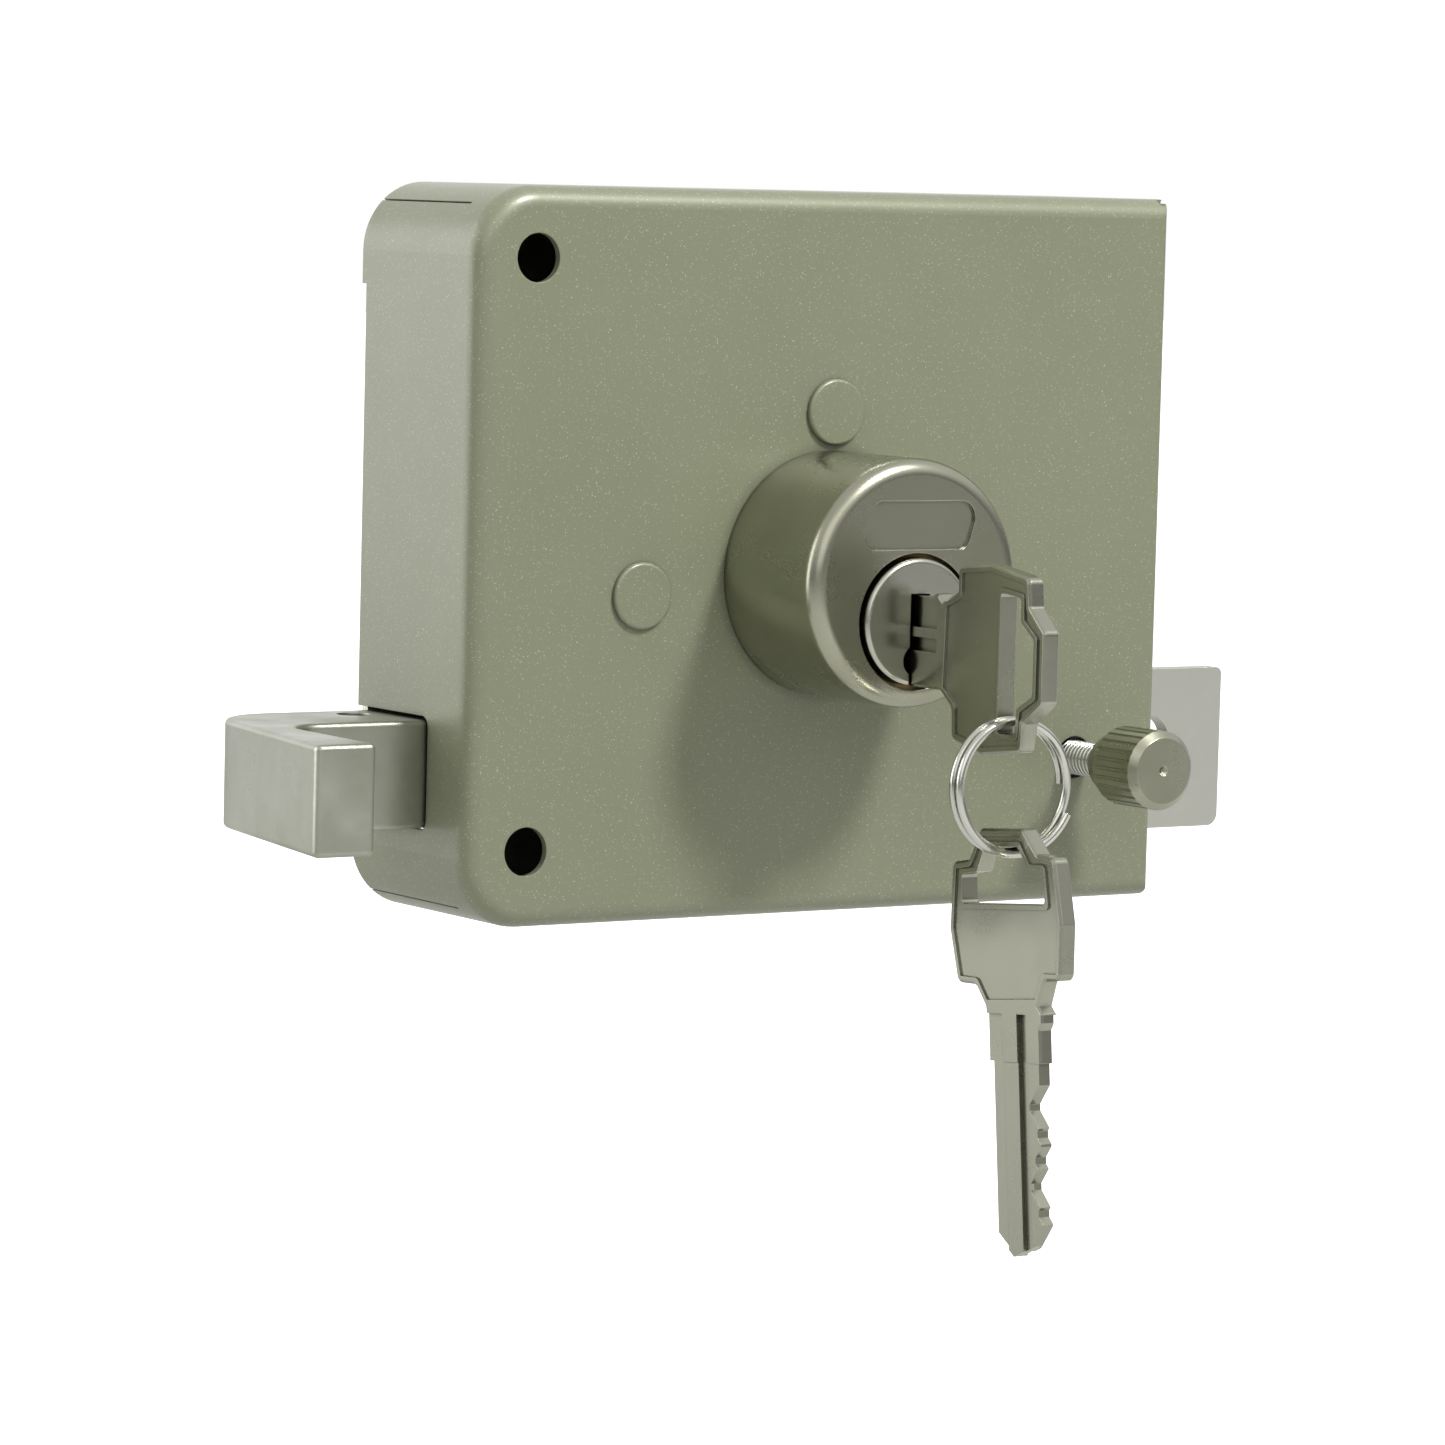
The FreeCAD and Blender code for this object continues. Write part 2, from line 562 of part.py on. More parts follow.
def cylinder_body():
    start = -size("barrel_long") + size("barrel_wall") + 0.1
    core = rod("body_core", d("barrel_x"), start, d("plug_z"), d("body_radius"), "%s + dims.body_rear" % -start)
    tower = box("body_tower", "dims.barrel_x - dims.tower_half", start, d("plug_z"), "2 * dims.tower_half",
                -start, "dims.tower_top - dims.plug_z")
    tools = [rod("body_bore", d("barrel_x"), start - 1, d("plug_z"), d("plug_bore"), 30)]
    for y in pin_places():
        tools.append(rod("body_chamber", d("barrel_x"), y, 46, d("pin_chamber"), 20, rotation=Rotation()))
    finish(cut("cylinder_body_cut", fuse("body_blank", [core, tower]), tools), "cylinder_body")
    strip = box("strip", "dims.barrel_x - 3.2", start + 1, d("tower_top"), 6.4, -start - 1.6, 1.0)
    finish(group("strip_group", [strip]), "chamber_strip")

    nut = rod("nut_rod", d("barrel_x"), d("case_sheet"), d("plug_z"), 12.5, 2.6)
    nut_tools = [rod("nut_bore", d("barrel_x"), 0, d("plug_z"), d("body_radius"), 6)]
    for angle in range(0, 360, 60):
        reach = 12.6
        x = size("barrel_x") + reach * math.cos(math.radians(angle))
        z = size("plug_z") + reach * math.sin(math.radians(angle))
        nut_tools.append(rod("nut_notch", x, 0, z, 1.3, 6))
    finish(cut("nut", nut, nut_tools), "cylinder_nut")


def cylinder_plug():
    face = -size("barrel_long")
    front = face - size("plug_out")
    blank = turned("plug_blank", d("barrel_x"), d("plug_z"),
                   [(front, face + 1.9, size("plug_head")), (face + 1.9, 8.2, size("plug_radius"))])

    def head_edge(edge):
        is_rim = edge.Curve.TypeId == "Part::GeomCircle" and near(edge.CenterOfMass.y, front)
        return size("plug_rim") if is_rim else None
    soft = rounded("plug_soft", blank, head_edge)
    tail = box("plug_tail", "dims.barrel_x - 3.2", 8.0, "dims.plug_z - 3.2", 6.4, 2.9, 6.4)
    solid = fuse("plug_solid", [soft, tail])
    ring = cut("clip_groove", rod("groove_outer", d("barrel_x"), 5.2, d("plug_z"), 9, 0.9),
               [rod("groove_inner", d("barrel_x"), 5, d("plug_z"), d("groove_radius"), 2)])
    bulge_radius = (size("bulge_high") - size("bulge_low")) / 2
    keyway_long = size("keyway_end") - front + 1
    tools = [
        box("keyway", "dims.barrel_x - dims.keyway_half", front - 1, 30, "2 * dims.keyway_half",
            keyway_long, "dims.keyway_top - 30"),
        rod("keyway_bulge", size("barrel_x") - size("bulge_reach") + bulge_radius, front - 1,
            size("bulge_low") + bulge_radius, bulge_radius, keyway_long),
        rod("cam_screw_hole", d("barrel_x"), 6.2, d("plug_z"), 1.25, 8),
        ring,
    ]
    for y in pin_places():
        tools.append(rod("plug_chamber", d("barrel_x"), y, d("plug_z"), d("pin_chamber"), 10,
                         rotation=Rotation()))
    finish(cut("plug", solid, tools), "cylinder_plug")

    clip = rod("clip_disc", d("barrel_x"), 5.25, d("plug_z"), 9.5, 0.8)
    clip_tools = [rod("clip_bore", d("barrel_x"), 5, d("plug_z"), "dims.groove_radius + 0.02", 2),
                  box("clip_gap", "dims.barrel_x - 2.5", 5, "dims.plug_z - 11", 5, 2, 8)]
    finish(cut("clip", clip, clip_tools), "plug_clip")


def pins():
    bottoms, drivers, springs = [], [], []
    blade_top = size("key_mid") + size("blade_high")
    for y, depth in zip(pin_places(), CUT_DEPTHS):
        low = blade_top - depth + 0.05
        top = size("pin_top")
        tip = cone("pin_tip", d("barrel_x"), y, low, 0.5, d("pin_radius"), 0.9, rotation=Rotation())
        stem = rod("pin_stem", d("barrel_x"), y, low + 0.9, d("pin_radius"), top - low - 0.9,
                   rotation=Rotation())
        bottoms.append(fuse("bottom_pin", [tip, stem]))
        drivers.append(rod("driver_pin", d("barrel_x"), y, d("driver_low"), d("pin_radius"),
                           "dims.driver_high - dims.driver_low", rotation=Rotation()))
        low_end = size("driver_high") + 0.25
        turns = 6
        pitch = (size("tower_top") - low_end - 0.3) / turns
        springs.append(coil(1.0, 0.2, pitch, turns, Vector(size("barrel_x"), y, low_end)))
    finish(group("bottom_pins_all", bottoms), "bottom_pins")
    finish(group("driver_pins_all", drivers), "driver_pins")
    finish_shape("pin_springs", Part.makeCompound(springs))


def cam():
    """The finger points down and to the left at rest, and sweeps to the right."""
    hub, reach, tip = size("cam_hub"), size("cam_reach"), size("cam_tip")
    start, thick = size("plate_front"), size("plate_thick")
    hub_disc = Part.makeCylinder(hub, thick, Vector(0, start, 0), Vector(0, 1, 0))
    tip_disc = Part.makeCylinder(tip, thick, Vector(0, start, -reach), Vector(0, 1, 0))
    finger = Part.makeBox(2 * tip, thick, reach, Vector(-tip, start, -reach))
    shape = hub_disc.fuse([tip_disc, finger]).removeSplitter()
    shape.rotate(Vector(), Vector(0, 1, 0), size("cam_swing") / 2)
    shape = shape.cut(Part.makeBox(6.44, thick + 2, 6.44, Vector(-3.22, start - 1, -3.22)))
    shape.translate(Vector(size("barrel_x"), 0, size("plug_z")))
    finish_shape("cam", shape)

    y = start + thick
    screw = turned("cam_screw_blank", d("barrel_x"), d("plug_z"), [(6.6, y, 1.2), (y, y + 1.4, 4.6)])
    slot = box("cam_screw_slot", "dims.barrel_x - 0.4", y + 0.8, "dims.plug_z - 6", 0.8, 2, 12)
    finish(cut("cam_screw_cut", screw, [slot]), "cam_screw")


# ---------------------------------------------------------------- thumb screw
def thumb_screw():
    rear, front = size("knob_rear"), size("knob_front")
    x, z = d("snib_x"), d("snib_z")
    stud_start = rear - 6
    stud = rod("stud_rod", x, stud_start + 0.2, z, d("stud_radius"), size("stud_tip") - stud_start - 0.2)

    def tip_edge(edge):
        is_tip = edge.Curve.TypeId == "Part::GeomCircle" and near(edge.CenterOfMass.y, size("stud_tip"))
        return 0.7 if is_tip else None
    plain = chamfered("stud_tip_chamfer", stud, tip_edge)
    grooves = []
    pitch, depth = 0.8, 0.3
    count = int((size("stud_tip") - 1.2 - rear - 0.2) / pitch)
    for index in range(count):
        y = rear + 0.3 + index * pitch
        outer = rod("thread_outer", x, y, z, 4, 0.4)
        inner = cone("thread_inner", x, y - 0.01, z, "dims.stud_radius", "dims.stud_radius - %s" % depth, 0.21)
        inner_back = cone("thread_inner_back", x, y + 0.2, z, "dims.stud_radius - %s" % depth,
                          "dims.stud_radius", 0.21)
        grooves.append(cut("thread_groove", outer, [inner, inner_back]))
    finish(cut("stud", plain, grooves), "snib_stud")

    taper_start = rear - size("knob_taper")
    grip = rod("knob_grip", x, front, z, d("knob_radius"), taper_start - front)
    taper = cone("knob_taper_cone", x, taper_start, z, d("knob_radius"), d("knob_neck"), d("knob_taper"))
    knob = fuse("knob_blank", [grip, taper])
    flutes = []
    for index in range(int(size("flute_count"))):
        angle = 2 * math.pi * index / size("flute_count")
        reach = size("knob_radius") + size("flute_out")
        flutes.append(rod("flute", size("snib_x") + reach * math.cos(angle), front + size("knob_chamfer"),
                          size("snib_z") + reach * math.sin(angle), d("flute_radius"),
                          taper_start - front - 0.6))
    fluted = cut("knob_fluted", knob, flutes)

    def knob_edge(edge):
        is_rim = edge.Curve.TypeId == "Part::GeomCircle" and near(edge.CenterOfMass.y, front)
        return size("knob_chamfer") - 0.02 if is_rim else None

    def neck_edge(edge):
        is_neck = edge.Curve.TypeId == "Part::GeomCircle" and near(edge.CenterOfMass.y, rear)
        return 0.8 if is_neck else None
    soft = rounded("knob_neck_round", chamfered("knob_soft", fluted, knob_edge), neck_edge)
    tools = [rod("knob_bore", x, stud_start, z, "dims.stud_radius + 0.04", 20),
             cone("knob_centre_mark", x, front - 0.01, z, 0.75, 0.2, 0.5)]
    finish(cut("knob", soft, tools), "snib_knob")

    bush = turned("bush_blank", x, z, [(size("case_sheet"), 2.3, 7.0), (2.3, 6.4, 5.0)])
    finish(cut("bush", bush, [rod("bush_bore", x, 0, z, "dims.stud_radius + 0.05", 10)]), "snib_bush")


def bolt_guide():
    """A steel channel on the back plate that keeps the bolt plate from bending back."""
    rear = size("case_depth") - size("back_sheet")
    front = size("plate_front") + size("plate_thick") + 0.15
    base = box("guide_base", 72, rear - 1.5, 11, 16, 1.5, 19)
    legs = [box("guide_leg", x, front, 11, 1.5, rear - front, 19) for x in (72, 86.5)]
    finish(fuse("guide_channel", [base] + legs), "bolt_guide")


# ---------------------------------------------------------------- keys and ring
def bow_outline():
    """The bow from its lower neck round to its upper neck, along the blade (u) and across it (v)."""
    return [(-7.2, -4.8), (-10.1, -7.0), (-10.3, -11.1), (-17.5, -12.6), (-26.5, -11.5), (-26.8, -7.8),
            (-31.0, -4.9), (-31.0, 4.7), (-27.6, 7.8), (-27.2, 11.6), (-18.4, 12.9), (-11.0, 12.2),
            (-11.0, 8.7), (-7.6, 7.2)]


def window_outline():
    return [(-21.0, 9.4), (-25.6, 8.9), (-25.7, 5.7), (-28.65, 3.6), (-28.65, -3.9), (-25.2, -5.8),
            (-24.9, -9.3), (-20.9, -9.45)]


def key_outline():
    """The whole key; the stop is at u = 0 and the tip is at the far end."""
    low, high, long = size("blade_low"), size("blade_high"), size("blade_long")
    neck = [(-6.6, 8.1), (-5.2, 8.1), (-4.4, 7.5), (0, 7.5), (0, high)]
    slope, flat = 0.9, 0.45
    places = [size("pin_first") + index * size("pin_pitch") for index in range(5)]
    cuts = [(0.6, high)]
    for place, depth in zip(places, CUT_DEPTHS):
        bottom = high - depth
        before_u, before_v = cuts[-1]
        meet_u = (place - flat + before_u + (bottom - before_v) / slope) / 2
        meet_v = bottom + (place - flat - meet_u) * slope
        if meet_v > high:
            cuts.append((before_u + (high - before_v) / slope, high))
            cuts.append((place - flat - depth / slope, high))
        elif meet_u > before_u + 0.05:
            cuts.append((meet_u, meet_v))
        cuts.append((place - flat, bottom))
        cuts.append((place + flat, bottom))
    cuts.append((cuts[-1][0] + 1.0, cuts[-1][1] + 0.9))
    tip = [(long - 1.6, high - 2.6), (long, low + 4.0), (long - 3.0, low)]
    return [(0, low), (0, -4.8)] + bow_outline() + neck + cuts + tip


def flat_wire(points):
    """A closed wire in the plane x = 0."""
    corners = [Vector(0, u, v) for u, v in points]
    return Part.makePolygon(corners + corners[:1])


def sunk_field(name, start):
    """The low ground between the bow's rim and the rim of its window, as a cutting tool."""
    inner = Part.Face(flat_wire(bow_outline()).makeOffset2D(-size("bow_rim")))
    rim = Part.Face(flat_wire(window_outline()).makeOffset2D(size("window_rim")))
    item = doc.addObject("Part::Feature", name)
    field = inner.cut(rim).extrude(Vector(1.2, 0, 0))
    field.translate(Vector(start, 0, 0))
    item.Shape = field
    return item


def key_solid(name):
    """The key lying in the plane x = 0, blade towards +Y, cuts up, stop at the origin."""
    radii = {2: 1.0, 3: 1.2, 4: 1.0, 6: 1.0, 7: 0.6, 8: 1.0, 9: 1.0, 10: 0.6, 11: 1.0, 13: 1.0, 14: 0.8,
             16: 0.6, 17: 0.6}
    half = size("key_thick") / 2
    blank = prism(name + "_blank", key_outline(), -half, d("key_thick"), plane="YZ_Plane", radii=radii)

    def bow_edge(edge):
        bounds = edge.BoundBox
        is_face_edge = near(bounds.XMin, bounds.XMax) and near(abs(bounds.XMin), half)
        is_bow = bounds.YMax < 0.01 and edge.CenterOfMass.y < -0.5
        return size("bow_edge") if is_face_edge and is_bow else None
    soft = chamfered(name + "_soft", blank, bow_edge)
    window = prism(name + "_window", window_outline(), -5, 10, plane="YZ_Plane",
                   radii={0: 0.6, 1: 0.6, 2: 0.5, 3: 0.7, 4: 0.7, 5: 0.5, 6: 0.6, 7: 0.6})
    blade_half = size("blade_thick") / 2
    long = size("blade_long")
    tools = [window, sunk_field(name + "_field_left", size("bow_sunk") - half - 1.2),
             sunk_field(name + "_field_right", half - size("bow_sunk"))]
    for side in (-1, 1):
        low_x = blade_half if side > 0 else -half - 1
        shave = half + 1 - blade_half
        tools.append(box(name + "_shave", low_x, 0.01, -20, shave, long + 5, 40))
    # grooves of the blade: side, floor, lowest and highest edge
    start = -6.4
    for side, floor, groove_low, groove_high in ((-1, 0.6, 3.3, 8.5), (-1, 0.5, 0.1, 2.0),
                                                 (1, 0.65, -5.0, -1.0), (1, 0.6, 2.3, 4.4)):
        low_x = floor if side > 0 else -half - 1
        tools.append(box(name + "_groove", low_x, start, groove_low, half + 1 - floor, long + 10,
                         groove_high - groove_low))
    return cut(name + "_cut", soft, tools)


def keys():
    doc.recompute()
    source = key_solid("key")
    doc.recompute()
    shape = source.Shape.copy()
    shape.translate(Vector(size("barrel_x"), size("key_stop"), size("key_mid")))
    finish_shape("key", shape)

    # the spare hangs by the end of its bow from the lowest point of the ring
    spare = source.Shape.copy()
    window_end = min(u for u, v in window_outline())
    spare.translate(Vector(0, -window_end - size("spare_drop"), 0))
    spare.rotate(Vector(), Vector(1, 0, 0), -90)
    spare.rotate(Vector(), Vector(0, 0, 1), 180)
    spare.rotate(Vector(), Vector(1, 0, 0), -size("spare_lean"))
    wire_low = size("ring_top") - 2 * size("ring_radius")
    spare.translate(Vector(size("barrel_x"), size("ring_y"), wire_low))
    finish_shape("spare_key", spare)


def key_ring():
    """Nearly two turns of round wire; the front end stands low on the right."""
    radius, wire, pitch = size("ring_radius"), size("ring_wire"), size("ring_pitch")
    turns = 1.93
    ring = coil(radius, wire, pitch, turns, Vector(0, 0, -pitch * turns / 2),
                make_helix=Part.makeLongHelix)
    ring.rotate(Vector(), Vector(0, 0, 1), 25)
    ring.rotate(Vector(), Vector(1, 0, 0), -90)
    ring.rotate(Vector(), Vector(0, 0, 1), -size("ring_turn"))
    ring.translate(Vector(size("barrel_x"), size("ring_y"), size("ring_top") - radius))
    finish_shape("key_ring", ring)


case_cover()
back_plate()
posts()
hook_bolt()
bolt_plate()
return_lever()
return_spring()
cylinder_shell()
cylinder_body()
cylinder_plug()
pins()
cam()
thumb_screw()
bolt_guide()
keys()
key_ring()
doc.recompute()

os.makedirs("parts", exist_ok=True)
problems = []
for item in doc.Objects:
    if "Invalid" in item.State or "Error" in item.State:
        problems.append("%s (%s): %s" % (item.Name, item.Label, item.State))
for item in finished:
    if item.Shape.isNull() or not item.Shape.isValid() or not item.Shape.Solids:
        problems.append("%s: shape is missing or not valid" % item.Label)
if problems:
    raise RuntimeError("\n".join(problems))
for item in finished:
    item.Shape.exportStep("parts/%s.step" % item.Label)
    bounds = item.Shape.optimalBoundingBox()
    print("%-20s solids %2d  volume %9.1f  x %7.2f %7.2f  y %7.2f %7.2f  z %7.2f %7.2f" % (
        item.Label, len(item.Shape.Solids), item.Shape.Volume, bounds.XMin, bounds.XMax,
        bounds.YMin, bounds.YMax, bounds.ZMin, bounds.ZMax))
print("bolt travel %.3f, lever swing %.3f degrees" % (bolt_travel(), 2 * lever_start_angle()))
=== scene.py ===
import math
import bpy
from mathutils import Matrix, Vector


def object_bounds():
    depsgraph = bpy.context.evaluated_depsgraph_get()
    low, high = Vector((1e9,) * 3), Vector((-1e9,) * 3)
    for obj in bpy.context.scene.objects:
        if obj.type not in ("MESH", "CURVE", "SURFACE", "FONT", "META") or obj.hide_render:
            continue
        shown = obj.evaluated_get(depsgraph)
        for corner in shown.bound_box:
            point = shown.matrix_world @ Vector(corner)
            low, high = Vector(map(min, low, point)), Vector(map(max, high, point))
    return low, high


# A rim lock with a hook bolt, its key, a spare and a split ring.
# The CAD frame holds every shape; this script adds the finishes, the light and the camera.

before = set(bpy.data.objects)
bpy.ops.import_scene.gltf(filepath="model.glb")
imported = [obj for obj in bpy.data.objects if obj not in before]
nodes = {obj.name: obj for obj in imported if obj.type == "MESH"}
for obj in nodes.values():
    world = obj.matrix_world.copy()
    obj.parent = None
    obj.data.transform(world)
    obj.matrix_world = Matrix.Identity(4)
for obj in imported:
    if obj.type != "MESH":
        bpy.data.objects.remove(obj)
cad_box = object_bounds()

MM = 0.001

# ---------------------------------------------------------------- camera
CAMERA_PLACE = Vector((-0.4798, -0.7375, 0.0530))
CAMERA_YAW = 33.23          # degrees to the right of +Y
CAMERA_DOWN = 5.13          # degrees below level
CAMERA_ROLL = 1.45          # degrees
CAMERA_LENS = 154.05        # mm
SENSOR_WIDTH = 36.0         # mm
NEAREST_SEEN = 0.01         # m

# ---------------------------------------------------------------- enamel
ENAMEL_DEEP = (0.180, 0.193, 0.122)
ENAMEL_PALE = (0.204, 0.218, 0.141)
ENAMEL_ROUGHNESS = (0.38, 0.50)
ENAMEL_METALLIC = 0.15
ENAMEL_EDGE = 0.25          # mm
FLAKE_COLOUR = (0.60, 0.60, 0.48)
FLAKE_CELLS = 8000.0        # to the metre
FLAKE_FROM = 0.965          # a cell whose random number is lower is bare enamel
FLAKE_COVER = 0.55
CLOUD_SCALE = 30.0          # patches of colour, and dents
GLOSS_SCALE = 160.0
PEEL_SCALE = 420.0
PEEL_DEPTH = 0.016          # mm
DENT_DEPTH = 0.16           # mm
CLEAR_COAT = 0.5
CLEAR_COAT_ROUGHNESS = 0.2
CLEAR_COAT_IOR = 1.45

# ---------------------------------------------------------------- painted shade in gaps, and plating
ENAMEL_SHADE_REACH = 2.5            # mm, the width of a gap that gets painted shade on the enamel
ENAMEL_GAP_SHADE = 0.35         # brightness the painted shade leaves in the deepest gap of the enamel
# Painted shade on the metals: brightness left in the deepest gap.
PLATING_GAP_SHADE = 0.10
GAP_SHADE_FROM, GAP_SHADE_TO = 0.15, 0.85      # openness at which the painted gap shade starts and ends
STAIN_SHARE = 0.85          # of what changes the gloss; the grain has the rest
GRAIN_SHARE = 0.15
STAIN_SPREAD = (0.3, 0.72)  # how far the stains go from the dark to the light colour
GLOSS_SPREAD = (0.3, 0.7)

# ---------------------------------------------------------------- room and floor
ROOM_BELOW = 0.03           # strength of the light from each side of the room
ROOM_BACK = 0.95
ROOM_ABOVE = 0.78
BACK_RAMP = (-0.2, 0.95)    # along Y, where the light from the back starts and is full
ABOVE_RAMP = (-0.14, 0.50)  # along Z
FLOOR_GAP = 0.05            # m below the object
FLOOR_REACH = 6.0           # m
FLOOR_SCALE = 3.0
FLOOR_DEEP = (0.50, 0.50, 0.49)
FLOOR_PALE = (0.54, 0.54, 0.53)
FLOOR_SEEN = (0.94, 0.94, 0.94)
FLOOR_GLOW = 0.75
FLOOR_ROUGHNESS = 0.9

# name, place in metres, width and height in metres, power in watts
LAMPS = (
    ("top_softbox", (0.25, -0.64, 0.76), (0.17, 0.17), 10.5),
    ("left_softbox", (-1.10, 0.75, 0.20), (1.4, 1.3), 12.5),
    ("front_fill", (-0.7, -1.2, 0.6), (1.0, 1.0), 2.5),
)


def make_camera():
    yaw, down, roll = (math.radians(angle) for angle in (CAMERA_YAW, CAMERA_DOWN, CAMERA_ROLL))
    forward = Vector((math.sin(yaw) * math.cos(down), math.cos(yaw) * math.cos(down),
                      -math.sin(down)))
    right = Vector((math.cos(yaw), -math.sin(yaw), 0.0))
    up = right.cross(forward)
    turned_right = math.cos(roll) * right + math.sin(roll) * up
    turned_up = math.cos(roll) * up - math.sin(roll) * right
    turn = Matrix((turned_right, turned_up, -forward)).transposed()
    data = bpy.data.cameras.new("camera")
    data.lens = CAMERA_LENS
    data.sensor_width = SENSOR_WIDTH
    data.clip_start = NEAREST_SEEN
    camera = bpy.data.objects.new("camera", data)
    camera.matrix_world = Matrix.Translation(CAMERA_PLACE) @ turn.to_4x4()
    bpy.context.scene.collection.objects.link(camera)
    bpy.context.scene.camera = camera


# ---------------------------------------------------------------- node helpers
class Nodes:
    """Short names for building a material's node tree."""

    def __init__(self, name):
        self.material = bpy.data.materials.new(name)
        self.material.use_nodes = True
        self.tree = self.material.node_tree
        self.shader = self.tree.nodes["Principled BSDF"]
        self.place = self.add("ShaderNodeTexCoord").outputs["Object"]

    def add(self, kind, **settings):
        node = self.tree.nodes.new(kind)
        for name, value in settings.items():
            setattr(node, name, value)
        return node

    def link(self, source, target):
        self.tree.links.new(source, target)

    def value(self, socket, number):
        """Link a socket or set a number."""
        if isinstance(number, bpy.types.NodeSocket):
            self.link(number, socket)
        else:
            socket.default_value = number

    def colour(self, socket, colour):
        """Link a socket or set a colour."""
        if isinstance(colour, bpy.types.NodeSocket):
            self.link(colour, socket)
        else:
            socket.default_value = (*colour, 1.0)

    def math(self, operation, first, second):
        node = self.add("ShaderNodeMath", operation=operation)
        self.value(node.inputs[0], first)
        self.value(node.inputs[1], second)
        return node.outputs[0]

    def noise(self, scale, detail=3.0, rough=0.5):
        node = self.add("ShaderNodeTexNoise")
        self.link(self.place, node.inputs["Vector"])
        node.inputs["Scale"].default_value = scale
        node.inputs["Detail"].default_value = detail
        node.inputs["Roughness"].default_value = rough
        return node.outputs["Fac"]

    def cell_numbers(self, scale):
        """A random number for each small cell of the surface."""
        cells = self.add("ShaderNodeTexVoronoi")
        self.link(self.place, cells.inputs["Vector"])
        cells.inputs["Scale"].default_value = scale
        split = self.add("ShaderNodeSeparateColor")
        self.link(cells.outputs["Color"], split.inputs["Color"])
        return split.outputs["Red"]

    def ramp(self, factor, low, high, start=0.0, end=1.0):
        """A number that goes from low to high as factor goes from start to end."""
        node = self.add("ShaderNodeMapRange", clamp=True)
        self.link(factor, node.inputs["Value"])
        node.inputs["From Min"].default_value = start
        node.inputs["From Max"].default_value = end
        node.inputs["To Min"].default_value = low
        node.inputs["To Max"].default_value = high
        return node.outputs["Result"]

    def mix(self, factor, first, second):
        node = self.add("ShaderNodeMix", data_type="RGBA")
        self.value(node.inputs["Factor"], factor)
        self.colour(node.inputs["A"], first)
        self.colour(node.inputs["B"], second)
        return node.outputs["Result"]

    def bump(self, height, depth, normal):
        """height is 0 to 1; depth is how deep that is, in mm."""
        node = self.add("ShaderNodeBump")
        node.inputs["Strength"].default_value = 1.0
        node.inputs["Distance"].default_value = depth * MM
        self.link(height, node.inputs["Height"])
        self.link(normal, node.inputs["Normal"])
        return node.outputs["Normal"]

    def soft_normal(self, radius):
        """The surface's normal with its edges eased by a small radius, in mm."""
        node = self.add("ShaderNodeBevel", samples=6)
        node.inputs["Radius"].default_value = radius * MM
        return node.outputs["Normal"]

    def painted_gap_shade(self, reach, darkest):
        """Painted shade: 1 in the open, down to darkest in gaps and corners narrower than reach, in
        mm.
        """
        node = self.add("ShaderNodeAmbientOcclusion", samples=16)
        node.inputs["Distance"].default_value = reach * MM
        return self.ramp(node.outputs["AO"], darkest, 1.0, GAP_SHADE_FROM, GAP_SHADE_TO)

    def shade(self, factor, colour):
        """A colour made darker by a factor of 0 to 1."""
        node = self.add("ShaderNodeMix", data_type="RGBA", blend_type="MULTIPLY")
        node.inputs["Factor"].default_value = 1.0
        self.link(colour, node.inputs["A"])
        self.link(factor, node.inputs["B"])
        return node.outputs["Result"]


# ---------------------------------------------------------------- finishes
def paint():
    """Grey-olive enamel with fine metal flake: a slight orange peel under a clear gloss."""
    n = Nodes("olive_flake_enamel")
    chosen = n.ramp(n.cell_numbers(FLAKE_CELLS), 0.0, 1.0, FLAKE_FROM, 1.0)
    base = n.mix(n.noise(CLOUD_SCALE, 4.0), ENAMEL_DEEP, ENAMEL_PALE)
    flaked = n.mix(n.math("MULTIPLY", chosen, FLAKE_COVER), base, FLAKE_COLOUR)
    # Painted shade: the enamel's colour darkened in its gaps and corners.
    gap_shaded = n.shade(n.painted_gap_shade(ENAMEL_SHADE_REACH, ENAMEL_GAP_SHADE), flaked)
    n.link(gap_shaded, n.shader.inputs["Base Color"])
    n.shader.inputs["Metallic"].default_value = ENAMEL_METALLIC
    n.link(n.ramp(n.noise(GLOSS_SCALE), *ENAMEL_ROUGHNESS), n.shader.inputs["Roughness"])
    n.shader.inputs["Coat Weight"].default_value = CLEAR_COAT
    n.shader.inputs["Coat Roughness"].default_value = CLEAR_COAT_ROUGHNESS
    n.shader.inputs["Coat IOR"].default_value = CLEAR_COAT_IOR
    peel = n.bump(n.noise(PEEL_SCALE, 2.0), PEEL_DEPTH, n.soft_normal(ENAMEL_EDGE))
    dents = n.bump(n.noise(CLOUD_SCALE, 1.0), DENT_DEPTH, peel)
    n.link(dents, n.shader.inputs["Normal"])
    return n.material


